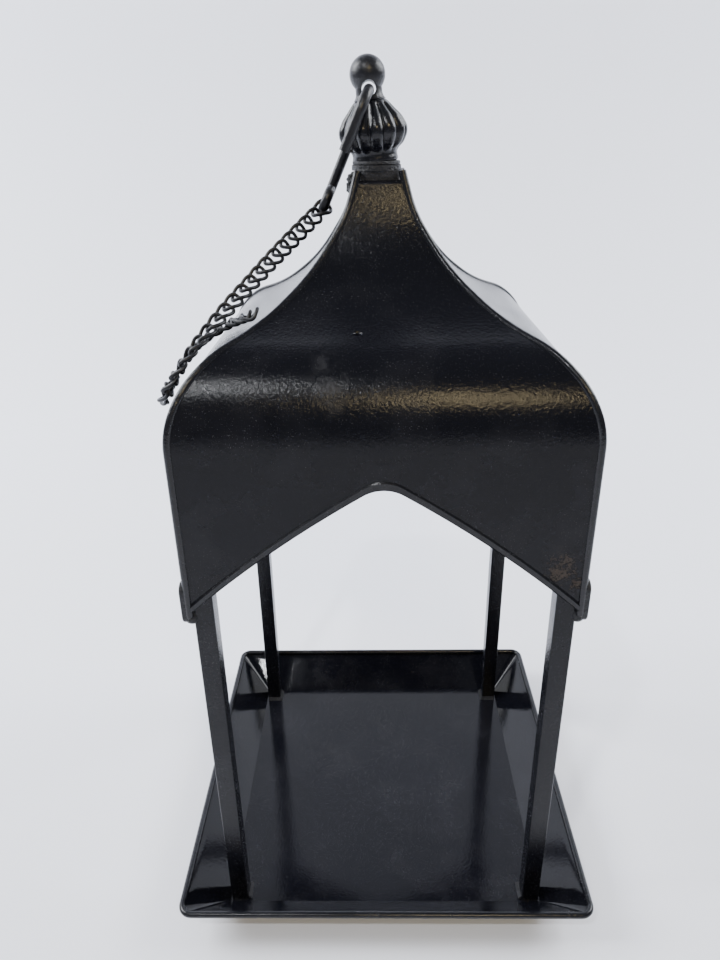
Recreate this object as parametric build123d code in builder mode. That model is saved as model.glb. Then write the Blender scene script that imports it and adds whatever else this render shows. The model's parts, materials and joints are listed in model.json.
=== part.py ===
"""An open-sided candle lantern of painted steel: tray, four posts, ogee roof, ribbed finial, hook and chain.

Millimetres, +Z up, origin at the centre of the tray's underside. The front looks along -Y.
"""

import os
from math import cos, radians, sin, sqrt, tan

from build123d import *

# driving dimensions
tray_width = 190.0  # over the rolled rim
floor_half = 75.0  # the tray's flat floor, from its middle to the foot of a wall
floor_corner = 1.5  # the tray's corner folds, inside and under the floor
foot_corner = 2.5
tray_height = 19.4
sheet = 1.0  # gauge of the tray and the roof
rim_wire = 3.0
rim_corner = 5.0

post_size = 8.0
post_inset = 0.6  # from the floor's edge to a post's outer face
post_edge = 0.6
post_top = 186.0
weld_leg = 1.6  # a post's foot weld: out at the floor and at its top, and up
weld_top_leg = 0.3
weld_rise = 1.8
weld_bite = 0.7  # how far a foot weld starts inside the post's outer faces

roof_half = 76.2  # from the middle to the face of a skirt
skirt_tip = 169.2  # lowest point of a skirt, at a corner
arch_apex = 225.6  # where the two sides of an arch would meet
arch_bulge = 2.8
arch_rounding = 14.0
shoulder_radius = 36.0
shoulder_height = 238.4
sweep_radius = 76.4
sweep_start = 22.8  # degrees below level, where the shoulder turns into the sweep
neck_start = 15.0  # degrees from level to the sweep's end, about the sweep's centre

hem_height = 3.6
hem_thickness = 2.4
hem_proud = 0.7
hem_edge = 0.6
bead_radius = 1.5
bead_end = 0.9  # rounding of a bead's lower end
bead_sunk = 0.9  # from the corner line to the bead's middle
ear_width = 7.6
ear_height = 18.0
ear_thickness = 2.4
ear_low = 165.6
ear_edge = 0.7
ear_past = 0.4  # how far an ear reaches past the corner line
ear_weld = 3.2  # radius of the weld between an ear and its post
ear_weld_in = 0.8  # the weld's middle, in from the skirt's face, along it and up it
ear_weld_along = 3.6
ear_weld_up = 1.9

ring_base = 325.6
ring_radius = 9.6
ring_height = 3.4
ring_groove = 2.1  # height of the groove round the ring
ring_groove_depth = 0.6
ring_edge = 0.5
plug_width = 17.2
plug_corner = 4.2
plug_depth = 11.0
neck_shift = -1.3
finial_lean = 5.5  # degrees to the left
onion_radius = 13.3
onion_foot = 8.7
onion_top = 24.4
onion_neck = 6.2
rib_count = 13
groove = 1.1
groove_flare = 1.4  # half the opening of a groove against its depth
neck_radius = 5.0
ball_radius = 6.7
ball_height = 33.0  # ball centre above the neck ring
hole_height = 28.2  # hole above the neck ring
hole_radius = 2.7

hook_wire = 4.0
hook_lean = 24.5  # degrees from hanging straight down
hook_half = 14.9
hook_bend = 9.0
hook_tip = 22.5
shank = 43.0
eye_radius = 4.4
eye_turn = 268.0  # degrees of wire in the eye
eye_pull = -142.0  # where the chain pulls on the eye, in degrees round it

chain_wire = 1.4
link_width = 6.0
link_length = 9.1
link_twist = 35.0  # degrees, each way
link_gap = 0.7
eye_link_extra = 0.8
link_corner = 0.38  # a link's corner radius against its width
roof_lift = 3.4  # the chain's middle above the roof where it lies on it
flat_after = 25.0  # the links begin to turn flat to the roof here, and are flat after this much more
flat_over = 85.0

wire_r = hook_wire / 2
sides = {"front": 0, "right": 90, "back": 180, "left": 270}
corners = {
    "front_left": (-1, -1),
    "front_right": (1, -1),
    "back_left": (-1, 1),
    "back_right": (1, 1),
}

os.makedirs("parts", exist_ok=True)


def save(built, name):
    """Label a finished piece and write it."""
    built.part.label = name
    export_step(built.part, f"parts/{name}.step")


# the roof's profile: a level distance s from the middle, and a height
crown_s = roof_half - shoulder_radius
turn_s = crown_s + shoulder_radius * sin(radians(sweep_start))
turn_z = shoulder_height + shoulder_radius * cos(radians(sweep_start))
sweep_s = turn_s + sweep_radius * sin(radians(sweep_start))
sweep_z = turn_z + sweep_radius * cos(radians(sweep_start))
neck_s = sweep_s - sweep_radius * cos(radians(neck_start))
neck_z = sweep_z - sweep_radius * sin(radians(neck_start))


def roof_height(s):
    """Height of the roof's outer face at a level distance s from the middle."""
    if s > turn_s:
        return shoulder_height + sqrt(shoulder_radius**2 - (s - crown_s) ** 2)
    return sweep_z - sqrt(sweep_radius**2 - (sweep_s - s) ** 2)


def roof_normal(s):
    """Outward direction of the roof's face at s, as (level, up)."""
    if s > turn_s:
        return (s - crown_s) / shoulder_radius, (roof_height(s) - shoulder_height) / shoulder_radius
    return (sweep_s - s) / sweep_radius, (sweep_z - roof_height(s)) / sweep_radius


def roof_curve(inset):
    """The skirt, shoulder and sweep of the roof in the current line, set in by a thickness."""
    skirt = Line((-roof_half + inset, skirt_tip), (-roof_half + inset, shoulder_height))
    CenterArc((-crown_s, shoulder_height), shoulder_radius - inset, 180, sweep_start - 90)
    CenterArc(
        (-sweep_s, sweep_z),
        sweep_radius + inset,
        sweep_start - 90,
        90 - sweep_start - neck_start,
    )
    return skirt


def outward(angle):
    return Vector(sin(radians(angle)), -cos(radians(angle)), 0)


def along(angle):
    return Vector(cos(radians(angle)), sin(radians(angle)), 0)


def profile_plane(angle):
    """The upright plane through the middle that shows a side's profile."""
    return Plane(origin=(0, 0, 0), x_dir=-outward(angle), z_dir=along(angle))


def face_plane(angle, distance=0.0):
    """The upright plane of a side, seen from outside."""
    return Plane(origin=outward(angle) * distance, x_dir=along(angle), z_dir=outward(angle))


def trim_to_seams(angle):
    """Cut the current part back to the seam beads at both ends of a side."""
    for turn in (45, -45):
        normal = outward(angle).rotate(Axis.Z, turn)
        split(bisect_by=Plane(origin=normal * bead_radius, z_dir=normal), keep=Keep.TOP)


def arch(raised, mode=Mode.ADD):
    """The opening under a skirt, down to below its tips, raised by a height."""
    low = skirt_tip - 10
    with BuildSketch(mode=Mode.PRIVATE) as opening:
        with BuildLine():
            tips = roof_half + 5
            apex = (0, arch_apex + raised)
            left = (-tips, skirt_tip - 4 + raised)
            right = (tips, skirt_tip - 4 + raised)
            SagittaArc(left, apex, arch_bulge)
            SagittaArc(apex, right, arch_bulge)
            Polyline(right, (tips, low), (-tips, low), left)
        make_face()
        fillet(opening.vertices().group_by(Axis.Y)[-1], radius=arch_rounding)
    add(opening.sketch, mode=mode)


# tray
rim_half = tray_width / 2 - rim_wire / 2
rim_z = tray_height - rim_wire / 2
wall_lean = (rim_half - floor_half) / (rim_z - sheet)
wall_step = sheet * sqrt(1 + wall_lean**2)

with BuildPart() as rim:
    with BuildLine(Plane.XY.offset(rim_z)) as rim_path:
        FilletPolyline(
            (rim_half, -rim_half),
            (rim_half, rim_half),
            (-rim_half, rim_half),
            (-rim_half, -rim_half),
            radius=rim_corner,
            close=True,
        )
    with BuildSketch(Plane(origin=rim_path.line @ 0, z_dir=rim_path.line % 0)):
        Circle(rim_wire / 2)
    sweep()
save(rim, "tray_rim_wire")

with BuildPart() as tray:
    foot = floor_half + wall_step - sheet * wall_lean
    with BuildSketch(Plane.XY):
        RectangleRounded(2 * foot, 2 * foot, foot_corner)
    with BuildSketch(Plane.XY.offset(rim_z)):
        RectangleRounded(2 * (rim_half + wall_step), 2 * (rim_half + wall_step), rim_corner + wall_step)
    loft(ruled=True)
    with BuildSketch(Plane.XY.offset(sheet)):
        RectangleRounded(2 * floor_half, 2 * floor_half, floor_corner)
    with BuildSketch(Plane.XY.offset(rim_z)):
        RectangleRounded(2 * rim_half, 2 * rim_half, rim_corner)
    loft(ruled=True, mode=Mode.SUBTRACT)
    add(rim.part, mode=Mode.SUBTRACT)
save(tray, "tray_pan")

# posts, with a small weld at each foot
posts, hems, beads = {}, {}, {}
for name, (sx, sy) in corners.items():
    middle = floor_half - post_inset - post_size / 2
    with BuildPart() as post:
        with BuildSketch(Plane.XY.offset(sheet)):
            with Locations((sx * middle, sy * middle)):
                Rectangle(post_size, post_size)
        extrude(amount=post_top - sheet)
        fillet(post.edges().filter_by(Axis.Z), radius=post_edge)
    posts[name] = post.part
    save(post, f"post_{name}")

with BuildPart() as foot_welds:
    for sx, sy in corners.values():
        inset = floor_half - post_inset - weld_bite
        for height, leg in ((sheet, weld_leg), (sheet + weld_rise, weld_top_leg)):
            with BuildSketch(Plane.XY.offset(height)):
                reach = post_size + leg - weld_bite
                with Locations((sx * (inset - reach / 2), sy * (inset - reach / 2))):
                    Rectangle(reach, reach)
        loft()
    for post_part in posts.values():
        add(post_part, mode=Mode.SUBTRACT)
save(foot_welds, "post_foot_welds")

# roof
for side, angle in sides.items():
    with BuildPart() as roof_sheet:
        with BuildSketch(profile_plane(angle)):
            with BuildLine():
                outer = roof_curve(0)
                inner = roof_curve(sheet)
                Line(outer @ 0, inner @ 0)
                Line(
                    (-neck_s, neck_z),
                    (-neck_s + sheet * cos(radians(neck_start)), neck_z - sheet * sin(radians(neck_start))),
                )
            make_face()
        extrude(amount=roof_half, both=True)
        trim_to_seams(angle)
        with BuildSketch(face_plane(angle)):
            arch(raised=hem_height)
        extrude(amount=2 * roof_half, mode=Mode.SUBTRACT)
    save(roof_sheet, f"roof_{side}")

# the folded hem along the lower edge of each sheet
for side, angle in sides.items():
    with BuildPart() as hem:
        with BuildSketch(face_plane(angle, roof_half + hem_proud)):
            arch(raised=hem_height)
            arch(raised=0, mode=Mode.SUBTRACT)
            with Locations((0, skirt_tip + 60)):
                Rectangle(2 * roof_half + 2, 121, mode=Mode.INTERSECT)
        extrude(amount=-hem_thickness)
        long_edges = hem.edges().filter_by(lambda e: e.length > hem_height + 1)
        chamfer(long_edges, length=hem_edge)
        trim_to_seams(angle)
    hems[side] = hem.part
    save(hem, f"hem_{side}")


def seam_points():
    """The corners of a tangent polygon round a mitre, as (distance out along the diagonal, height)."""
    inset = bead_sunk / sqrt(2)
    steps = 3
    found = [(roof_half - inset, skirt_tip - 0.6)]
    shoulder_turn = 90 - sweep_start
    for k in range(steps):
        middle = radians((k + 0.5) * shoulder_turn / steps)
        out = (shoulder_radius - inset) / cos(radians(shoulder_turn / steps / 2))
        found.append((crown_s + out * cos(middle), shoulder_height + out * sin(middle)))
    sweep_turn = 90 - sweep_start - neck_start
    for k in range(steps):
        middle = radians(90 - sweep_start - (k + 0.5) * sweep_turn / steps)
        out = (sweep_radius + inset) / cos(radians(sweep_turn / steps / 2))
        found.append((sweep_s - out * cos(middle), sweep_z - out * sin(middle)))
    rise = ring_base - 0.2 - neck_z
    found.append((neck_s - inset - rise * tan(radians(neck_start)), neck_z + rise))
    return [(s * sqrt(2), z) for s, z in found]


def corner_radii(points, share=0.48):
    """The largest round corners that the runs between some points leave room for."""
    radii = []
    for before, here, after in zip(points, points[1:], points[2:]):
        a, b = Vector(*here) - Vector(*before), Vector(*after) - Vector(*here)
        turn = radians(a.get_angle(b))
        radii.append(share * min(a.length, b.length) / tan(turn / 2))
    return radii


for name, (sx, sy) in corners.items():
    diagonal = Vector(sx, sy, 0).normalized()
    mitre = Plane(origin=(0, 0, 0), x_dir=diagonal, z_dir=diagonal.cross(Vector(0, 0, 1)))
    with BuildPart() as bead:
        with BuildLine(mitre) as bead_path:
            points = seam_points()
            FilletPolyline(*points, radius=corner_radii(points))
        with BuildSketch(Plane(origin=bead_path.line @ 0, z_dir=bead_path.line % 0)):
            Circle(bead_radius)
        sweep()
        fillet(bead.edges().group_by(Axis.Z)[0], radius=bead_end)
    beads[name] = bead.part
    save(bead, f"seam_bead_{name}")

# the rounded lower corners of the side skirts, each with the weld that joins it to a post
for name, (sx, sy) in corners.items():
    side = "left" if sx < 0 else "right"
    plane = face_plane(sides[side], roof_half)
    with BuildPart() as ear:
        with BuildSketch(plane):
            with Locations((sx * sy * (roof_half - ear_width / 2 + ear_past), ear_low + ear_height / 2)):
                RectangleRounded(ear_width, ear_height, ear_width / 2 - 0.05)
        extrude(amount=ear_thickness)
        fillet(ear.faces().sort_by(Axis(plane.origin, plane.z_dir))[-1].edges(), radius=ear_edge)
        lump = (sx * (roof_half - ear_weld_in), sy * (roof_half - ear_weld_along), ear_low + ear_weld_up)
        with Locations(Location(lump, (0, 0, 90 - 90 * sx))):
            Sphere(ear_weld)
        for cut in (posts[name], beads[name], hems[side], hems["front" if sy < 0 else "back"]):
            add(cut, mode=Mode.SUBTRACT)
    save(ear, f"corner_ear_{name}")

# neck
with BuildPart() as plug:
    with BuildSketch(Plane.XY.offset(ring_base - plug_depth)):
        RectangleRounded(plug_width, plug_width, plug_corner)
    extrude(amount=plug_depth)
save(plug, "neck_plug")

with BuildPart() as ring:
    with BuildSketch(Plane(origin=(neck_shift, 0, ring_base), x_dir=(1, 0, 0), z_dir=(0, -1, 0))):
        with BuildLine():
            Polyline(
                (0, 0),
                (ring_radius, 0),
                (ring_radius, ring_groove - 0.2),
                (ring_radius - ring_groove_depth, ring_groove),
                (ring_radius - ring_groove_depth / 2, ring_groove + 0.2),
                (ring_radius - ring_groove_depth / 2, ring_height),
                (0, ring_height),
                (0, 0),
            )
        make_face()
    revolve(axis=Axis((neck_shift, 0, 0), (0, 0, 1)))
    fillet(ring.edges().filter_by(GeomType.CIRCLE).group_by(Axis.Z)[-1], radius=ring_edge)
save(ring, "neck_ring")

# finial, leaning a little to the left
lean = radians(finial_lean)
finial = Plane(
    origin=(neck_shift, 0, ring_base),
    x_dir=(cos(lean), 0, sin(lean)),
    z_dir=(-sin(lean), 0, cos(lean)),
)
finial_profile = Plane(origin=finial.origin, x_dir=finial.x_dir, z_dir=-finial.y_dir)
finial_axis = Axis(finial.origin, finial.z_dir)

with BuildPart() as onion:
    with BuildSketch(finial_profile):
        with BuildLine():
            lower = ThreePointArc((onion_foot, 5.9), (11.9, 9.3), (onion_radius, 13.4))
            upper = ThreePointArc(lower @ 1, (11.9, 17.2), (onion_neck, onion_top))
            Polyline(upper @ 1, (0, onion_top), (0, 2.5), (onion_foot, 2.5), lower @ 0)
        make_face()
    revolve(axis=finial_axis)
    # a V groove between each pair of ribs, in two straight runs that meet at the belly
    for k in range(rib_count):
        turned = finial.rotated((0, 0, 360 * (k + 0.5) / rib_count))
        for (r0, h0), (r1, h1) in (((9.0, 5.2), (13.2, 14.2)), ((13.1, 12.4), (7.0, 24.9))):
            start = turned.from_local_coords(Vector(r0, 0, h0))
            end = turned.from_local_coords(Vector(r1, 0, h1))
            out = (end - start).cross(turned.y_dir).normalized()
            out = out if out.dot(turned.x_dir) > 0 else -out
            with BuildSketch(Plane(origin=start, x_dir=out, z_dir=end - start)):
                half_open = groove_flare * groove
                Polygon((-groove, 0), (groove, -half_open), (groove, half_open), align=None)
            extrude(amount=(end - start).length, mode=Mode.SUBTRACT)
    add(ring.part, mode=Mode.SUBTRACT)
save(onion, "finial_onion")

with BuildPart() as ball:
    with BuildSketch(finial_profile):
        with BuildLine():
            join = ball_height - sqrt(ball_radius**2 - neck_radius**2)
            flare = ThreePointArc((6.1, onion_top), (5.3, onion_top + 1.2), (neck_radius, onion_top + 2.8))
            neck = Line(flare @ 1, (neck_radius, join))
            cap = ThreePointArc(neck @ 1, (ball_radius, ball_height), (0, ball_height + ball_radius))
            Polyline(cap @ 1, (0, onion_top), flare @ 0)
        make_face()
    revolve(axis=finial_axis)
    hole_at = finial.from_local_coords(Vector(0, 0, hole_height))
    with BuildSketch(Plane(origin=hole_at, x_dir=(1, 0, 0), z_dir=(0, -1, 0))):
        Circle(hole_radius)
    extrude(amount=2 * ball_radius, both=True, mode=Mode.SUBTRACT)
save(ball, "finial_ball")

# hook, through the hole in the finial
hang = radians(hook_lean)
hook_plane = Plane(
    origin=hole_at - Vector(0, 0, hole_radius - wire_r - 0.1),
    x_dir=(0, 1, 0),
    z_dir=(cos(hang), 0, -sin(hang)),
)
eye_middle = (hook_half - eye_radius, -shank)
with BuildPart() as hook:
    with BuildLine(hook_plane) as hook_path:
        bend = FilletPolyline(
            (-hook_half, -hook_tip),
            (-hook_half, 0),
            (hook_half, 0),
            (hook_half, -shank),
            radius=hook_bend,
        )
        CenterArc(eye_middle, eye_radius, 0, -eye_turn)
    with BuildSketch(Plane(origin=hook_path.line @ 0, z_dir=hook_path.line % 0)):
        Circle(wire_r)
    sweep()
save(hook, "hook")


def over_left_side(s, y, lift):
    """A point above the left side of the roof, clear of its face by a lift."""
    level, up = roof_normal(s)
    return Vector(-s - lift * level, y, roof_height(s) + lift * up)


# chain: from the hook's eye, down in the air to the front left shoulder, over it, and back onto the roof
pull = radians(eye_pull)
held_at = hook_plane.from_local_coords(
    Vector(eye_middle[0] + eye_radius * cos(pull), eye_middle[1] + eye_radius * sin(pull), 0)
)
first_bend = Vector(-41, -18, 296)
chain_start = held_at + (held_at - first_bend).normalized() * (wire_r + chain_wire / 2 + 0.2)
chain_route = [
    chain_start,
    first_bend,
    Vector(-60, -47.5, 278),
    Vector(-70, -60, 267),
    Vector(-78.5, -61.5, 255),
    Vector(-81, -48.5, 250),
    Vector(-78.5, -38, 256),
    Vector(-72.5, -29.5, 264.5),
    over_left_side(59, -29.5, roof_lift),
    over_left_side(52, -34, roof_lift),
    over_left_side(44, -43, roof_lift),
]
with BuildLine() as chain_line:
    FilletPolyline(*chain_route, radius=corner_radii(chain_route, 0.47))
chain_path = chain_line.wire()

loop_length = link_length - chain_wire
pitch = loop_length - chain_wire - link_gap
toward_front = Vector(0, -0.93, 0.37)


def blend(a, b, share):
    return a * (1 - share) + b * share


def link_plane(distance):
    """Where a link lies: its length along the chain, its flat side to the front in the air, down on the roof."""
    at = chain_path.position_at(distance, position_mode=PositionMode.LENGTH)
    heading = chain_path.tangent_at(distance, position_mode=PositionMode.LENGTH)
    if -at.X > turn_s:
        away_from_roof = Vector(at.X + crown_s, 0, at.Z - shoulder_height).normalized()
    else:
        level, up = roof_normal(max(-at.X, neck_s + 1))
        away_from_roof = Vector(-level, 0, up)
    turned = min(max((distance - flat_after) / flat_over, 0), 1)
    facing = blend(toward_front, away_from_roof, turned)
    facing = (facing - heading * facing.dot(heading)).normalized()
    return Plane(origin=at, x_dir=heading, z_dir=facing)


def link_halves(plane, length, width, twists):
    """The corners of a link's two halves, its two ends turned about its length."""
    half = length / 2
    outline = []
    for end, edge in ((-1, 1), (1, 1), (1, -1), (-1, -1)):
        twist = radians(twists[0] if end < 0 else twists[1])
        place = Vector(end * half, edge * width / 2 * cos(twist), edge * width / 2 * sin(twist))
        outline.append(plane.from_local_coords(place))
    near, far = (outline[0] + outline[1]) / 2, (outline[2] + outline[3]) / 2
    return (near, outline[1], outline[2], far), (far, outline[3], outline[0], near)


link_count = int((chain_path.length - loop_length - eye_link_extra) / pitch) + 1
for k in range(link_count):
    first = k == 0
    extra = eye_link_extra if first else 0
    place = link_plane(eye_link_extra + loop_length / 2 + k * pitch - extra / 2)
    length, width = loop_length + extra, link_width + extra
    twists = (0 if first else -link_twist, link_twist)
    with BuildPart() as link:
        for corners_of_half in link_halves(place, length, width, twists):
            with BuildLine() as half_loop:
                FilletPolyline(*corners_of_half, radius=link_corner * width)
            with BuildSketch(Plane(origin=half_loop.line @ 0, z_dir=half_loop.line % 0)):
                Circle(chain_wire / 2)
            sweep()
    save(link, f"chain_link_{k + 1:02d}")
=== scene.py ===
"""The looks of an open-sided candle lantern: painted steel roof, tray, posts, finial, hook and chain."""
import json
import math

import bmesh
import bpy
from bpy.props import FloatProperty, FloatVectorProperty, IntProperty, PointerProperty
from bpy.types import Operator, Panel, PropertyGroup
from mathutils import Matrix, Vector


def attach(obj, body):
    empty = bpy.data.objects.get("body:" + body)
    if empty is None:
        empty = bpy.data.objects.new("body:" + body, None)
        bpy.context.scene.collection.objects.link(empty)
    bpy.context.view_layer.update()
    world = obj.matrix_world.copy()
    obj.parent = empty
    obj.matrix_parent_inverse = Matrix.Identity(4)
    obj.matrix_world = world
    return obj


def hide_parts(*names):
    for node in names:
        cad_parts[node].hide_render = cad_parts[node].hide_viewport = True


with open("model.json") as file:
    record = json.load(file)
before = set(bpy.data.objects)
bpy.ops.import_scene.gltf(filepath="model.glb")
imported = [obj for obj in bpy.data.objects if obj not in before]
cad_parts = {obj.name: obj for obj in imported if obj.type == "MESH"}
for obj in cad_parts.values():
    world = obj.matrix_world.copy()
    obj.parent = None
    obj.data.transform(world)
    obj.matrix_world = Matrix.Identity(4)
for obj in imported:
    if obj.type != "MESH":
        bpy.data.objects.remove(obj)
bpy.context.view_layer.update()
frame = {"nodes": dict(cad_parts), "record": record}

bl_info = {
    "name": "Candle Lantern",
    "version": (1, 0, 0),
    "blender": (4, 5, 0),
    "location": "View3D > Sidebar > Lantern",
    "description": "Builds the finished surfaces of a painted steel candle lantern round its CAD frame",
    "category": "Object",
}

NODES = frame["nodes"]
BODIES = frame["record"]["behaviour"]["bodies"]
MM = 0.001
QUARTER = math.pi / 2

# CAD copies: points this close become one, and edges this short are dropped
MERGE = 2e-6
SLIVER = 1e-6

SHEET_GRID = (97, 105)  # points across and up
# the shares of a roof sheet's rows at which its skirt and its shoulder end
SKIRT_SHARE = 0.26
SHOULDER_SHARE = 0.58

ONION_GRID = (261, 73)  # points round and up
# the onion's radius up its height, both as shares
ONION_PROFILE = [
    (0, 0), (0.012, 0.60), (0.03, 0.654), (0.155, 0.654), (0.31, 0.885), (0.5, 1.0),
    (0.67, 0.905), (0.84, 0.68), (0.97, 0.485), (0.986, 0.45), (1, 0),
]
RIB_ROUND = 0.8  # how flat the ribs are on top
RIBS_START = (0.13, 0.3)
RIBS_END = (0.9, 0.98)
POLE_GAP = 0.00001

# how square a link is along and across, its points along the wire and round it
LINK_SQUARE = (0.82, 0.62)
LINK_POINTS = 56
WIRE_POINTS = 14

# weld lumps at the neck: middle and radius
NECK_LUMPS = (
    ((-0.0098, -0.0035, 0.3225), 0.0030),
    ((-0.0107, -0.0010, 0.3195), 0.0026),
    ((-0.0104, -0.0052, 0.3190), 0.0022),
    ((-0.0088, 0.0040, 0.3235), 0.0024),
    ((0.0086, -0.0020, 0.3237), 0.0020),
    ((-0.0030, 0.0093, 0.3237), 0.0022),
)
LUMP_ROUGH = 0.16
LUMP_WAVES = (2600, 2100)
LUMP_SQUASH = 0.85

# the start and the number of rounds for finding a link's principal axes
AXIS_GUESS = (0.31, 0.87, 0.39)
AXIS_ROUNDS = 120

# noises: scale, detail and roughness
WAVES = (26, 1, 0.4)
PAPER_CLOUDS = (2.2, 2, 0.5)
CLOUDS = (38, 4, 0.6)
GRAIN = (820, 3, 0.55)
FINE_GRAIN = (2300, 2, 0.6)
# the flecks: grey specks in the paint's colour, partly dust in the paint and partly painted glints of
# highlight
FLECKS_AND_GLINTS = (2400, 1, 0.4)
RUBS = (240, 4, 0.7)
WELD_GRAIN = (520, 4, 0.65)
RUST_EDGE = (520, 5, 0.8)
RUST_DUST = (700, 3, 0.6)
HAZE = (130, 4, 0.6)
BUMP_DEPTH = 0.00025
# grey of the flecks: partly dust in the paint, partly painted glints of highlight
FLECK_AND_GLINT_GREY = (0.10, 0.10, 0.11)
# a black deeper than the paint's: painted shade in the hollow of a dent
DENT_SHADE_BLACK = (0.002, 0.002, 0.002)

PAPER_FRONT = -2.6
PAPER_BACK = 0.55  # where the floor starts to curve up
PAPER_CURVE = 0.5
PAPER_STEP = 6  # degrees between the curve's rows
PAPER_TOP = 3.2
PAPER_HALF = 3.2
ROOM_BLUE = (0.86, 0.90, 1.0, 1)
DAYLIGHT = (0.95, 0.97, 1.0)
LAMPLIGHT = (1.0, 0.80, 0.45)

CAMERA_PLACE = (-0.0034, -0.3110, 0.3380)
CAMERA_RIGHT = Vector((0.99978, 0.01324, -0.0163))
CAMERA_UP = Vector((0.00912, 0.42536, 0.90498))
CAMERA_AHEAD = Vector((-0.01891, 0.90493, -0.42515))


def length(name, about, millimetres):
    """A size property, in metres, given in millimetres."""
    size = millimetres * MM
    return FloatProperty(name=name, description=about, default=size, min=0, unit="LENGTH", precision=5)


def share(name, about, value, top=1.0):
    """A plain number property, such as a roughness."""
    return FloatProperty(name=name, description=about, default=value, min=0, max=top)


def turn(name, about, degrees):
    """An angle property, given in degrees."""
    return FloatProperty(name=name, description=about, default=math.radians(degrees), subtype="ANGLE")


def colour(name, about, value):
    """A colour property."""
    return FloatVectorProperty(name=name, description=about, default=value, min=0, max=1, subtype="COLOR")


class RoofSizes(PropertyGroup):
    """The roof's profile and the arch cut in each of its skirts."""

    half: length("Half width", "Middle of the lantern to a skirt's face", 76.2)
    skirt_top: length("Skirt top", "Height where the skirt turns into the shoulder", 238.4)
    shoulder_radius: length("Shoulder radius", "Round of the shoulder", 36)
    sweep_radius: length("Sweep radius", "Hollow of the upper roof", 76.4)
    sweep_start: turn("Sweep start", "Slope where the shoulder meets the hollow", 22.8)
    neck_start: turn("Neck slope", "Lean from upright at the neck", 15)
    arch_apex: length("Arch apex", "Height where the two sides of an arch would meet", 229.2)
    arch_drop: length("Arch drop", "Fall of an arch's side from the apex to beyond the corner", 60.4)
    arch_reach: length("Arch reach", "Level length of an arch's side", 81.2)
    arch_bulge: length("Arch bulge", "How far an arch's side bows up in its middle", 3.5)
    arch_blunt: length("Arch blunting", "Roundness of the arch's point", 4.4)
    edge_lap: length("Edge lap", "How far the sheet runs down behind its hem", 0.8)
    sheet: length("Sheet", "Thickness of the steel", 1.0)
    wave: length("Wave", "Depth of the waves that hand forming leaves", 0.16)


class FinialSizes(PropertyGroup):
    """The ribbed onion of the finial."""

    base: length("Base height", "Height of the finial's foot", 325.6)
    aside: FloatProperty(
        name="Aside", description="How far the foot stands off the middle", default=-1.3 * MM, unit="LENGTH"
    )
    lean: turn("Lean", "How far the finial leans to the left", 5.5)
    radius: length("Radius", "Widest part of the onion", 13.3)
    low: length("Onion foot", "Height of the onion's lower end above the base", 2.5)
    tall: length("Onion height", "Height of the onion itself", 22.0)
    ribs: IntProperty(name="Ribs", description="Number of ribs round the onion", default=13, min=3)
    groove: share("Groove", "Depth of the grooves as a share of the radius", 0.12)


class ChainSizes(PropertyGroup):
    """One twisted link of the chain."""

    wire: length("Wire", "Thickness of the chain's wire", 1.4)
    long: length("Link length", "Outside length of a link", 9.1)
    wide: length("Link width", "Width between the wire's middles", 6.0)
    twist: turn("Twist", "Turn of each end about the link's length", 35)


class PaintLook(PropertyGroup):
    """The black paint on the steel, and what shows where it has gone."""

    black: colour("Black", "Colour of the paint", (0.0028, 0.0030, 0.0048))
    worn: colour("Worn black", "Colour of dusty or rubbed paint", (0.024, 0.024, 0.028))
    rust: colour("Rust", "Colour of rusted steel", (0.050, 0.039, 0.031))
    gloss: share("Roughness", "Roughness of clean paint", 0.2)
    peel: share("Orange peel", "Strength of the paint's fine unevenness", 0.35)
    # the flecks are partly dust in the paint and partly painted glints of highlight
    fleck_and_glint: share("Flecks", "How bright the dust flecks in the paint are", 0.5)


class StageLook(PropertyGroup):
    """Floor, light and camera."""

    floor: colour("Floor", "Colour of the floor and the wall behind", (0.84, 0.86, 0.93))
    sky: share("Room light", "Strength of the even light of the room", 0.42, top=10)
    left: share("Left light", "Power of the large light on the left, in watts", 62, top=1000)
    right: share("Right light", "Power of the large light on the right, in watts", 44, top=1000)
    lamp: share("Warm lamp", "Power of the small warm lamp, in watts", 6.0, top=1000)
    spot: share("Small window", "Power of the small white light on the left, in watts", 6.0, top=1000)
    lens: FloatProperty(
        name="Lens", description="Focal length on a 36 mm frame, in millimetres", default=27.53
    )


GROUPS = {
    "lantern_roof": RoofSizes,
    "lantern_finial": FinialSizes,
    "lantern_chain": ChainSizes,
    "lantern_paint": PaintLook,
    "lantern_stage": StageLook,
}


# node trees


class Wire:
    """An output socket. Arithmetic on it adds Math nodes to its tree."""

    def __init__(self, tree, socket):
        self.tree, self.socket = tree, socket

    def of(self, name):
        """Another output of the same node."""
        return Wire(self.tree, self.socket.node.outputs[name])

    def __add__(self, other):
        return self.tree.math("ADD", self, other)

    def __sub__(self, other):
        return self.tree.math("SUBTRACT", self, other)

    def __mul__(self, other):
        return self.tree.math("MULTIPLY", self, other)

    def __truediv__(self, other):
        return self.tree.math("DIVIDE", self, other)

    def __pow__(self, other):
        return self.tree.math("POWER", self, other)

    def __radd__(self, other):
        return self.tree.math("ADD", other, self)

    def __rsub__(self, other):
        return self.tree.math("SUBTRACT", other, self)

    def __rmul__(self, other):
        return self.tree.math("MULTIPLY", other, self)

    def __gt__(self, other):
        return self.tree.math("GREATER_THAN", self, other)

    def __abs__(self):
        return self.tree.math("ABSOLUTE", self)


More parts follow.
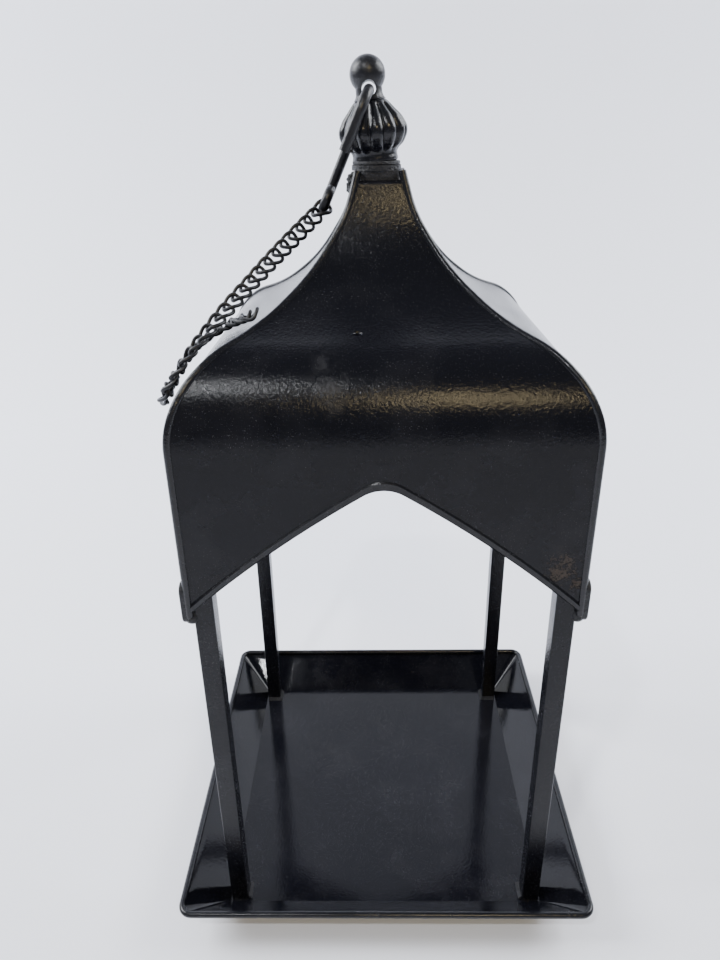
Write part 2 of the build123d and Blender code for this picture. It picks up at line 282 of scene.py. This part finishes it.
class Tree:
    """A node tree of a material or of Geometry Nodes."""

    def __init__(self, tree):
        self.tree = tree
        tree.nodes.clear()

    def node(self, kind, settings=None, inputs=None, out=0):
        """Adds a node: its settings first, then the values or links of its sockets."""
        made = self.tree.nodes.new(kind)
        made.location = (180 * (len(self.tree.nodes) % 12), -200 * (len(self.tree.nodes) // 12))
        for name, value in (settings or {}).items():
            if name == "curve":
                line = made.mapping.curves[0]
                line.points[0].location, line.points[1].location = value[0], value[-1]
                for place in value[1:-1]:
                    line.points.new(*place)
                made.mapping.update()
            else:
                setattr(made, name, value)
        for name, value in (inputs or {}).items():
            if isinstance(value, Wire):
                self.tree.links.new(value.socket, made.inputs[name])
            else:
                made.inputs[name].default_value = value
        return Wire(self, made.outputs[out]) if len(made.outputs) else None

    def math(self, operation, *values):
        """A Math node."""
        return self.node("ShaderNodeMath", {"operation": operation}, dict(enumerate(values)))

    def mix(self, share_of_b, a, b):
        """A mix of two colours."""
        return self.node("ShaderNodeMix", {"data_type": "RGBA"}, {0: share_of_b, 6: a, 7: b}, out=2)

    def vector(self, operation, *values, out=0):
        """A Vector Math node."""
        return self.node("ShaderNodeVectorMath", {"operation": operation}, dict(enumerate(values)), out=out)

    def grid(self, points):
        """A flat square grid, one metre wide, with so many points each way."""
        inputs = {"Size X": 1.0, "Size Y": 1.0, "Vertices X": points[0], "Vertices Y": points[1]}
        return self.node("GeometryNodeMeshGrid", None, inputs)

    def noise(self, place, kind):
        """Cloudy noise, about 0 to 1, from its scale, detail and roughness."""
        scale, detail, rough = kind
        inputs = {"Vector": place, "Scale": scale, "Detail": detail, "Roughness": rough}
        return self.node("ShaderNodeTexNoise", None, inputs)

    def ramp(self, value, low, high):
        """0 below low, 1 above high, smooth between."""
        settings = {"interpolation_type": "SMOOTHSTEP", "clamp": True}
        return self.node("ShaderNodeMapRange", settings, {"Value": value, "From Min": low, "From Max": high})

    def spot(self, place, middle, size, soft):
        """1 inside a round or stretched spot in space, fading to 0 at its edge."""
        off = self.vector("SUBTRACT", place, middle)
        off = self.vector("DIVIDE", off, size)
        return 1 - self.ramp(self.vector("LENGTH", off, out="Value"), 1 - soft, 1.0)


def tone(rgb):
    """A colour with its alpha."""
    return (*rgb, 1.0)


def close_material(tree, inputs):
    """Ends a material's tree in a Principled shader."""
    shader = tree.node("ShaderNodeBsdfPrincipled", None, inputs)
    tree.node("ShaderNodeOutputMaterial", None, {"Surface": shader})


def paint(name, look, gloss=None, peel=None, dust=0.0, marks=(), wear=0.0, weld=0.0, sheen=1.36):
    """Black paint. marks are (kind, middle, size), wear rubs it grey, weld roughens the metal under it."""
    material = bpy.data.materials.new(name)
    material.use_nodes = True
    tree = Tree(material.node_tree)
    place = tree.node("ShaderNodeTexCoord", out="Object")
    cloud = tree.noise(place, CLOUDS)
    grain = tree.noise(place, GRAIN)
    fine = tree.noise(place, FINE_GRAIN)
    # mask of the grey flecks: partly dust in the paint, partly painted glints of highlight
    fleck_and_glint = tree.ramp(tree.noise(place, FLECKS_AND_GLINTS), 0.68, 0.76)
    patch = tree.ramp(cloud, 0.42, 0.72)

    base = tree.mix(patch * 0.14 + dust, tone(look.black), tone(look.worn))
    base = tree.mix(fleck_and_glint * look.fleck_and_glint * (0.35 + 0.65 * patch), base, tone(FLECK_AND_GLINT_GREY))
    clean = look.gloss if gloss is None else gloss
    rough = clean + 0.05 * patch + 0.16 * fleck_and_glint + 0.06 * (fine - 0.5) + dust * 0.5
    height = grain * 0.9 + fine * 0.3 + cloud * 1.2

    if wear:
        rubbed = tree.ramp(tree.noise(place, RUBS), 0.60 - 0.1 * wear, 0.70) * wear
        base = tree.mix(rubbed * 0.8, base, tone(look.worn))
        rough = rough + rubbed * 0.25
    if weld:
        lump = tree.noise(place, WELD_GRAIN)
        height = height + lump * 6 * weld
        rough = rough + 0.12 * weld
    for kind, middle, size in marks:
        near = tree.spot(place, middle, size, 0.8)
        if kind == "rust":
            edge = tree.noise(place, RUST_EDGE) + near * 0.26
            broken = tree.ramp(edge, 0.68, 0.84) * tree.ramp(near, 0.02, 0.3)
            halo = near * tree.ramp(tree.noise(place, RUST_DUST), 0.5, 0.7) * 0.25
            base = tree.mix(broken * 0.9 + halo, base, tone(look.rust))
            rough = rough + broken * 0.45
            height = height - broken * 1.5
        elif kind == "smudge":
            haze = near * tree.ramp(tree.noise(place, HAZE), 0.35, 0.75)
            base = tree.mix(haze * 0.4, base, tone(look.worn))
            rough = rough + haze * 0.22
        # a dent: pressed in by the bump and painted darker, which is painted shade in its hollow
        elif kind == "dent_shade":
            base = tree.mix(near, base, tone(DENT_SHADE_BLACK))
            height = height - near * 6
    strength = look.peel if peel is None else peel
    bump = tree.node("ShaderNodeBump", None, {"Strength": strength, "Distance": BUMP_DEPTH, "Height": height})
    close_material(tree, {"Base Color": base, "Roughness": rough, "IOR": sheen, "Normal": bump})
    return material


SOCKETS = {float: "NodeSocketFloat", int: "NodeSocketInt", bpy.types.Material: "NodeSocketMaterial"}


def growth(name, values):
    """A Geometry Nodes tree with an input for each value, and its inputs' wires and identifiers."""
    made = bpy.data.node_groups.new(name, "GeometryNodeTree")
    tree = Tree(made)
    made.interface.new_socket(name="Geometry", in_out="INPUT", socket_type="NodeSocketGeometry")
    for title, value in values.items():
        made.interface.new_socket(name=title, in_out="INPUT", socket_type=SOCKETS[type(value)])
    made.interface.new_socket(name="Geometry", in_out="OUTPUT", socket_type="NodeSocketGeometry")
    start = made.nodes.new("NodeGroupInput")
    wires = {socket.name: Wire(tree, socket) for socket in start.outputs if socket.name}
    keys = {item.name: item.identifier for item in made.interface.items_tree if item.in_out == "INPUT"}
    return tree, wires, keys


def close_growth(tree, shape, wires):
    """Ends a tree: real geometry, smooth, in its material."""
    shape = tree.node("GeometryNodeRealizeInstances", None, {"Geometry": shape})
    shape = tree.node("GeometryNodeSetShadeSmooth", None, {"Geometry": shape})
    shape = tree.node("GeometryNodeSetMaterial", None, {"Geometry": shape, "Material": wires["Material"]})
    tree.node("NodeGroupOutput", None, {0: shape})


def grown(name, seed_mesh, tree, keys, values, thickness=0.0):
    """Runs a tree on a mesh, thickens it inwards where asked, and gives a plain mesh object."""
    carrier = bpy.data.objects.new(name + "_growth", seed_mesh)
    bpy.context.scene.collection.objects.link(carrier)
    modifier = carrier.modifiers.new("growth", "NODES")
    modifier.node_group = tree.tree
    for title, value in values.items():
        modifier[keys[title]] = value
    if thickness:
        wall = carrier.modifiers.new("wall", "SOLIDIFY")
        wall.thickness, wall.offset, wall.use_even_offset = thickness, -1.0, False
    bpy.context.view_layer.update()
    graph = bpy.context.evaluated_depsgraph_get()
    ready = carrier.evaluated_get(graph)
    mesh = bpy.data.meshes.new_from_object(ready, preserve_all_data_layers=True, depsgraph=graph)
    bpy.data.objects.remove(carrier)
    if not len(mesh.polygons):
        raise RuntimeError(f"{name} came out empty")
    mesh.name = name
    return placed(name, mesh)


def placed(name, data):
    """An object in the scene for a mesh, a light or a camera."""
    made = bpy.data.objects.new(name, data)
    bpy.context.scene.collection.objects.link(made)
    return made


def dressed(node, material, crease=32.0):
    """Makes a merged, smooth-shaded copy of a CAD node that stands for it."""
    mesh = NODES[node].data.copy()
    work = bmesh.new()
    work.from_mesh(mesh)
    bmesh.ops.remove_doubles(work, verts=work.verts, dist=MERGE)
    bmesh.ops.dissolve_degenerate(work, edges=work.edges, dist=SLIVER)
    work.to_mesh(mesh)
    work.free()
    for spare in [a.name for a in mesh.attributes if a.name.startswith("custom_normal")]:
        mesh.attributes.remove(mesh.attributes[spare])
    mesh.shade_smooth()
    mesh.set_sharp_from_angle(angle=math.radians(crease))
    mesh.materials.clear()
    mesh.materials.append(material)
    settle(placed(node + "_finished", mesh), body_of(node), [node])


def body_of(node):
    """The body that a CAD node belongs to."""
    return next(body for body, members in BODIES.items() if node in members)


def settle(piece, body, nodes):
    """Joins a piece to its body and hides the CAD nodes that it stands for."""
    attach(piece, body)
    if nodes:
        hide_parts(*nodes)


def node_names(*starts):
    """The CAD nodes whose names start with any of these."""
    return [n for n in sorted(NODES) if n.startswith(starts)]


# pieces


def roof_marks(skirt):
    """Marks on the front sheet, whose skirt lies at this depth: kind, middle and half sizes."""
    return (
        ("rust", (0.0665, skirt, 0.1905), (0.0105, 0.012, 0.0125)),
        ("rust", (0.0722, skirt, 0.1835), (0.0045, 0.012, 0.006)),
        ("smudge", (-0.0175, -0.069, 0.2600), (0.0085, 0.02, 0.0150)),
        ("smudge", (-0.0210, -0.060, 0.2680), (0.0060, 0.02, 0.0090)),
        # a dent on the front shoulder, painted darker as painted shade
        ("dent_shade", (-0.0087, -0.0501, 0.2737), (0.0020, 0.0016, 0.0012)),
    )


class LANTERN_OT_roof(Operator):
    """Forms the four roof sheets from the profile and cuts their arches"""

    bl_idname = "lantern.roof"
    bl_label = "Roof Sheets"

    def execute(self, context):
        size, look = context.scene.lantern_roof, context.scene.lantern_paint
        marks = roof_marks(-size.half)
        values = {
            "Half": size.half,
            "Skirt Top": size.skirt_top,
            "Shoulder": size.shoulder_radius,
            "Sweep": size.sweep_radius,
            "Sweep Start": size.sweep_start,
            "Neck Slope": size.neck_start,
            "Apex": size.arch_apex - size.edge_lap,
            "Drop": size.arch_drop,
            "Reach": size.arch_reach,
            "Bulge": size.arch_bulge,
            "Blunt": size.arch_blunt,
            "Wave": size.wave,
            "Material": paint("roof_paint", look, sheen=1.25, gloss=0.15, peel=0.62, marks=marks),
        }
        tree, wires, keys = growth("roof_sheets", values)
        sheet = tree.grid(SHEET_GRID)
        place = tree.node("ShaderNodeSeparateXYZ", None, {0: tree.node("GeometryNodeInputPosition")})
        across, up = place * 2, place.of("Y") + 0.5

        level = abs(across) * wires["Half"]
        blunted = tree.math("SQRT", level * level + wires["Blunt"] * wires["Blunt"])
        along = blunted / wires["Reach"]
        arch = wires["Apex"] - wires["Drop"] * along + 4 * wires["Bulge"] * along * (1 - along)
        on_skirt = up / SKIRT_SHARE
        skirt_z = arch + (wires["Skirt Top"] - arch) * on_skirt

        crown = wires["Half"] - wires["Shoulder"]
        start = wires["Sweep Start"]
        bend = (up - SKIRT_SHARE) / (SHOULDER_SHARE - SKIRT_SHARE) * (QUARTER - start)
        shoulder_s = crown + wires["Shoulder"] * tree.math("COSINE", bend)
        shoulder_z = wires["Skirt Top"] + wires["Shoulder"] * tree.math("SINE", bend)

        both = wires["Shoulder"] + wires["Sweep"]
        middle_s = crown + both * tree.math("SINE", start)
        middle_z = wires["Skirt Top"] + both * tree.math("COSINE", start)
        slope = start + (up - SHOULDER_SHARE) / (1 - SHOULDER_SHARE) * (QUARTER - wires["Neck Slope"] - start)
        sweep_s = middle_s - wires["Sweep"] * tree.math("SINE", slope)
        sweep_z = middle_z - wires["Sweep"] * tree.math("COSINE", slope)

        above_skirt, above_shoulder = up > SKIRT_SHARE, up > SHOULDER_SHARE
        s = wires["Half"] + (shoulder_s - wires["Half"]) * above_skirt
        s = s + (sweep_s - s) * above_shoulder
        z = skirt_z + (shoulder_z - skirt_z) * above_skirt
        z = z + (sweep_z - z) * above_shoulder
        spot = tree.node("ShaderNodeCombineXYZ", None, {"X": across * s, "Y": 0 - s, "Z": z})
        sheet = tree.node("GeometryNodeSetPosition", None, {"Geometry": sheet, "Position": spot})

        corners = tree.node("GeometryNodeMeshLine", None, {"Count": 4, "Offset": (0.0, 0.0, 0.0)})
        angle = tree.node("GeometryNodeInputIndex") * QUARTER
        turned = tree.node("ShaderNodeCombineXYZ", None, {"Z": angle})
        sides = tree.node(
            "GeometryNodeInstanceOnPoints", None, {"Points": corners, "Instance": sheet, "Rotation": turned}
        )
        sides = tree.node("GeometryNodeRealizeInstances", None, {"Geometry": sides})
        where = tree.node("GeometryNodeInputPosition")
        waves = (tree.noise(where, WAVES) - 0.5) * wires["Wave"] * 2
        normal = tree.node("GeometryNodeInputNormal")
        push = tree.node("ShaderNodeVectorMath", {"operation": "SCALE"}, {0: normal, "Scale": waves})
        sides = tree.node("GeometryNodeSetPosition", None, {"Geometry": sides, "Offset": push})
        close_growth(tree, sides, wires)

        seed = bpy.data.meshes.new("roof_seed")
        roof = grown("roof_sheets", seed, tree, keys, values, thickness=size.sheet)
        settle(roof, "lantern", node_names("roof_"))
        return {"FINISHED"}


class LANTERN_OT_trim(Operator):
    """Finishes the hems, seam beads and corner ears of the roof"""

    bl_idname = "lantern.trim"
    bl_label = "Hems, Beads and Ears"

    def execute(self, context):
        look = context.scene.lantern_paint
        hem = paint("hem_paint", look, gloss=0.22, wear=0.25)
        bead = paint("bead_paint", look, gloss=0.17, peel=0.45, wear=0.2, weld=0.25)
        ear = paint("ear_paint", look, gloss=0.26, peel=0.6, wear=0.35, weld=1.0)
        for starts, material in (("hem_", hem), ("seam_bead", bead), ("corner_ear", ear)):
            for node in node_names(starts):
                dressed(node, material)
        return {"FINISHED"}


class LANTERN_OT_base(Operator):
    """Finishes the tray, its rim, the posts and the welds at their feet"""

    bl_idname = "lantern.base"
    bl_label = "Tray and Posts"

    def execute(self, context):
        look = context.scene.lantern_paint
        dressed("tray_pan", paint("tray_paint", look, gloss=0.06, peel=0.12, sheen=1.27))
        dressed("tray_rim_wire", paint("rim_paint", look, gloss=0.2, wear=0.3))
        post = paint("post_paint", look, gloss=0.2, peel=0.5, dust=0.03, wear=0.2, sheen=1.27)
        for node in node_names("post_front", "post_back"):
            dressed(node, post, crease=20)
        dressed("post_foot_welds", paint("foot_weld_paint", look, gloss=0.3, peel=0.9, dust=0.2, weld=1.0))
        return {"FINISHED"}


class LANTERN_OT_finial(Operator):
    """Grows the ribbed onion and finishes the ball, the neck and its ring"""

    bl_idname = "lantern.finial"
    bl_label = "Finial"

    def execute(self, context):
        size, look = context.scene.lantern_finial, context.scene.lantern_paint
        values = {
            "Radius": size.radius,
            "Low": size.low,
            "Tall": size.tall,
            "Ribs": size.ribs,
            "Groove": size.groove,
            "Lean": size.lean,
            "Aside": size.aside,
            "Base": size.base,
            "Material": paint("finial_paint", look, gloss=0.2, peel=0.5, wear=0.25, weld=0.12),
        }
        tree, wires, keys = growth("ribbed_onion", values)
        grid = tree.grid(ONION_GRID)
        place = tree.node("ShaderNodeSeparateXYZ", None, {0: tree.node("GeometryNodeInputPosition")})
        around, up = (place + 0.5) * math.tau, place.of("Y") + 0.5
        profile = tree.node("ShaderNodeFloatCurve", {"curve": ONION_PROFILE}, {"Value": up})
        rib = abs(tree.math("COSINE", around * wires["Ribs"] / 2))
        fade = tree.ramp(up, *RIBS_START) * (1 - tree.ramp(up, *RIBS_END))
        radius = wires["Radius"] * profile * (1 - wires["Groove"] * fade * (1 - rib**RIB_ROUND))
        spot = tree.node(
            "ShaderNodeCombineXYZ", None,
            {
                "X": radius * tree.math("COSINE", around),
                "Y": radius * tree.math("SINE", around),
                "Z": wires["Low"] + up * wires["Tall"],
            },
        )
        grid = tree.node("GeometryNodeSetPosition", None, {"Geometry": grid, "Position": spot})
        grid = tree.node("GeometryNodeMergeByDistance", None, {"Geometry": grid, "Distance": POLE_GAP})
        lean = tree.node("ShaderNodeCombineXYZ", None, {"Y": 0 - wires["Lean"]})
        foot = tree.node("ShaderNodeCombineXYZ", None, {"X": wires["Aside"], "Z": wires["Base"]})
        grid = tree.node(
            "GeometryNodeTransform", None, {"Geometry": grid, "Translation": foot, "Rotation": lean}
        )
        close_growth(tree, grid, wires)
        seed = bpy.data.meshes.new("onion_seed")
        onion = grown("ribbed_onion", seed, tree, keys, values)
        settle(onion, "lantern", ["finial_onion"])
        dressed("finial_ball", paint("ball_paint", look, gloss=0.22, peel=0.6, dust=0.1, wear=0.3, weld=0.15))
        neck = paint("neck_paint", look, gloss=0.3, peel=0.9, dust=0.12, wear=0.4, weld=0.8)
        dressed("neck_plug", neck)
        dressed("neck_ring", neck)
        return {"FINISHED"}


class LANTERN_OT_welds(Operator):
    """Adds the rough weld lumps at the neck"""

    bl_idname = "lantern.welds"
    bl_label = "Weld Lumps"

    def execute(self, context):
        look = context.scene.lantern_paint
        work = bmesh.new()
        for middle, radius in NECK_LUMPS:
            made = bmesh.ops.create_icosphere(work, subdivisions=4, radius=radius)
            for vertex in made["verts"]:
                away = vertex.co.normalized()
                wave = math.sin(LUMP_WAVES[0] * vertex.co.x + 7)
                bulge = LUMP_ROUGH * wave * math.cos(LUMP_WAVES[1] * vertex.co.z + 3)
                squashed = Vector((vertex.co.x, vertex.co.y, vertex.co.z * LUMP_SQUASH))
                vertex.co = Vector(middle) + squashed + away * radius * bulge
        mesh = bpy.data.meshes.new("neck_weld_lumps")
        work.to_mesh(mesh)
        work.free()
        mesh.shade_smooth()
        mesh.materials.append(paint("lump_paint", look, gloss=0.28, peel=0.9, weld=1.0))
        settle(placed("neck_weld_lumps", mesh), "lantern", [])
        return {"FINISHED"}


class LANTERN_OT_hook(Operator):
    """Finishes the wire hook"""

    bl_idname = "lantern.hook"
    bl_label = "Hook"

    def execute(self, context):
        look = context.scene.lantern_paint
        dressed("hook", paint("hook_paint", look, gloss=0.26, peel=0.6, dust=0.12, wear=0.6))
        return {"FINISHED"}


def link_frame(node):
    """Where a CAD link lies: its middle, length direction, face direction and length."""
    corners = [v.co for v in NODES[node].data.vertices]
    middle = sum(corners, Vector()) / len(corners)
    spread = Matrix(((0, 0, 0), (0, 0, 0), (0, 0, 0)))
    for corner in corners:
        d = corner - middle
        for i in range(3):
            for j in range(3):
                spread[i][j] += d[i] * d[j] / len(corners)
    axes = []
    for _ in range(2):
        axis = Vector(AXIS_GUESS)
        for _ in range(AXIS_ROUNDS):
            axis = (spread @ axis).normalized()
        reach = axis.dot(spread @ axis)
        axes.append(axis)
        for i in range(3):
            for j in range(3):
                spread[i][j] -= reach * axis[i] * axis[j]
    length_way, width_way = axes
    along = [(c - middle).dot(length_way) for c in corners]
    middle = middle + length_way * (max(along) + min(along)) / 2
    return middle, length_way, length_way.cross(width_way), max(along) - min(along)


class LANTERN_OT_chain(Operator):
    """Strings the twisted links of the chain, one mesh for each run of links"""

    bl_idname = "lantern.chain"
    bl_label = "Chain"

    def execute(self, context):
        size, look = context.scene.lantern_chain, context.scene.lantern_paint
        values = {
            "Wire": size.wire,
            "Long": size.long,
            "Wide": size.wide,
            "Twist": size.twist,
            "Material": paint("chain_paint", look, gloss=0.3, peel=0.4, dust=0.1, wear=0.6),
        }
        tree, wires, keys = growth("chain_links", values)
        loop = tree.node("GeometryNodeCurvePrimitiveCircle", None, {"Resolution": LINK_POINTS, "Radius": 1.0})
        place = tree.node("ShaderNodeSeparateXYZ", None, {0: tree.node("GeometryNodeInputPosition")})
        x, y = place, place.of("Y")
        full_x = tree.math("SIGN", x) * abs(x) ** LINK_SQUARE[0]
        full_y = tree.math("SIGN", y) * abs(y) ** LINK_SQUARE[1]
        twist = full_x * wires["Twist"]
        edge = full_y * wires["Wide"] / 2
        spot = tree.node(
            "ShaderNodeCombineXYZ", None,
            {
                "X": full_x * (wires["Long"] - wires["Wire"]) / 2,
                "Y": edge * tree.math("COSINE", twist),
                "Z": edge * tree.math("SINE", twist),
            },
        )
        loop = tree.node("GeometryNodeSetPosition", None, {"Geometry": loop, "Position": spot})
        half_wire = wires["Wire"] / 2
        section = tree.node(
            "GeometryNodeCurvePrimitiveCircle", None, {"Resolution": WIRE_POINTS, "Radius": half_wire}
        )
        link = tree.node("GeometryNodeCurveToMesh", None, {"Curve": loop, "Profile Curve": section})
        facing, heading, stretch = (
            tree.node("GeometryNodeInputNamedAttribute", {"data_type": kind}, {"Name": title})
            for title, kind in (("facing", "FLOAT_VECTOR"), ("heading", "FLOAT_VECTOR"), ("stretch", "FLOAT"))
        )
        axes = {"primary_axis": "Z", "secondary_axis": "X"}
        turned = tree.node("FunctionNodeAxesToRotation", axes, {0: facing, 1: heading})
        strung = tree.node(
            "GeometryNodeInstanceOnPoints", None,
            {"Points": wires["Geometry"], "Instance": link, "Rotation": turned, "Scale": stretch},
        )
        close_growth(tree, strung, wires)
        for body, members in BODIES.items():
            if not body.startswith("chain"):
                continue
            middles, headings, facings, lengths = zip(*map(link_frame, members))
            points = bpy.data.meshes.new(body + "_points")
            points.from_pydata(middles, [], [])
            for title, ways in (("heading", headings), ("facing", facings)):
                layer = points.attributes.new(title, "FLOAT_VECTOR", "POINT")
                layer.data.foreach_set("vector", [number for way in ways for number in way])
            layer = points.attributes.new("stretch", "FLOAT", "POINT")
            layer.data.foreach_set("value", [reach / size.long for reach in lengths])
            links = grown(body + "_links", points, tree, keys, values)
            settle(links, body, members)
        return {"FINISHED"}


class LANTERN_OT_stage(Operator):
    """Sets the floor, the soft light and the camera"""

    bl_idname = "lantern.stage"
    bl_label = "Stage"

    def execute(self, context):
        look = context.scene.lantern_stage
        scene = context.scene
        rows = [(PAPER_FRONT, 0.0), (PAPER_BACK, 0.0)]
        for degrees in range(PAPER_STEP, 90, PAPER_STEP):
            rise = math.radians(degrees)
            back = PAPER_BACK + PAPER_CURVE * math.sin(rise)
            rows.append((back, PAPER_CURVE - PAPER_CURVE * math.cos(rise)))
        wall = PAPER_BACK + PAPER_CURVE
        rows += [(wall, PAPER_CURVE), (wall, PAPER_TOP)]
        vertices = [(x, y, z) for y, z in rows for x in (-PAPER_HALF, PAPER_HALF)]
        faces = [(2 * k, 2 * k + 1, 2 * k + 3, 2 * k + 2) for k in range(len(rows) - 1)]
        mesh = bpy.data.meshes.new("paper_sweep")
        mesh.from_pydata(vertices, [], faces)
        mesh.shade_smooth()
        material = bpy.data.materials.new("pale_paper")
        material.use_nodes = True
        tree = Tree(material.node_tree)
        place = tree.node("ShaderNodeTexCoord", out="Object")
        cloud = tree.noise(place, PAPER_CLOUDS)
        base = tree.mix(cloud * 0.12, tone(look.floor), tone([c * 0.92 for c in look.floor]))
        close_material(tree, {"Base Color": base, "Roughness": 0.85})
        mesh.materials.append(material)
        floor = placed("paper_sweep", mesh)

        world = bpy.data.worlds.new("room")
        world.use_nodes = True
        background = world.node_tree.nodes["Background"]
        background.inputs["Color"].default_value = ROOM_BLUE
        background.inputs["Strength"].default_value = look.sky
        scene.world = world

        # name, place, aim, size, power and colour
        lights = (
            ("left", (-1.45, 0.25, 1.25), (0, 0.35, 0.1), (1.1, 1.0), look.left, DAYLIGHT),
            ("right", (1.45, 0.45, 1.25), (0, 0.35, 0.1), (1.0, 1.0), look.right, DAYLIGHT),
            ("lamp", (0.20, -1.05, 1.05), (0.03, -0.07, 0.25), (0.24, 0.09), look.lamp, LAMPLIGHT),
            ("spot", (-0.34, -0.73, 1.23), (-0.06, -0.07, 0.26), (0.07, 0.04), look.spot, DAYLIGHT),
        )
        for name, at, aim, size, power, hue in lights:
            light = bpy.data.lights.new(name, "AREA")
            light.shape, light.size, light.size_y = "RECTANGLE", *size
            light.energy, light.color = power, hue
            aimed = (Vector(aim) - Vector(at)).to_track_quat("-Z", "Y").to_matrix().to_4x4()
            placed(name, light).matrix_world = Matrix.Translation(at) @ aimed

        lens = bpy.data.cameras.new("camera")
        lens.lens, lens.sensor_width = look.lens, 36.0
        lens.clip_start, lens.clip_end = 0.01, 20
        camera = placed("camera", lens)
        facing = Matrix((CAMERA_RIGHT, CAMERA_UP, -CAMERA_AHEAD)).transposed().to_4x4()
        camera.matrix_world = Matrix.Translation(CAMERA_PLACE) @ facing
        scene.camera = camera
        return {"FINISHED"}


PIECES = (
    LANTERN_OT_stage, LANTERN_OT_roof, LANTERN_OT_trim, LANTERN_OT_base,
    LANTERN_OT_finial, LANTERN_OT_welds, LANTERN_OT_hook, LANTERN_OT_chain,
)


class LANTERN_PT_panel(Panel):
    """Lists the lantern's pieces and sizes"""

    bl_idname = "LANTERN_PT_panel"
    bl_label = "Candle Lantern"
    bl_space_type = "VIEW_3D"
    bl_region_type = "UI"
    bl_category = "Lantern"

    def draw(self, context):
        for piece in PIECES:
            self.layout.operator(piece.bl_idname)
        for name, group in GROUPS.items():
            box = self.layout.box()
            for key in group.__annotations__:
                box.prop(getattr(context.scene, name), key)


def register():
    for cls in (*GROUPS.values(), *PIECES, LANTERN_PT_panel):
        bpy.utils.register_class(cls)
    for name, group in GROUPS.items():
        setattr(bpy.types.Scene, name, PointerProperty(type=group))


def unregister():
    for name in GROUPS:
        delattr(bpy.types.Scene, name)
    for cls in reversed((*GROUPS.values(), *PIECES, LANTERN_PT_panel)):
        bpy.utils.unregister_class(cls)


def main():
    register()
    for piece in PIECES:
        getattr(bpy.ops.lantern, piece.bl_idname.split(".")[1])()


if __name__ == "__main__":
    main()
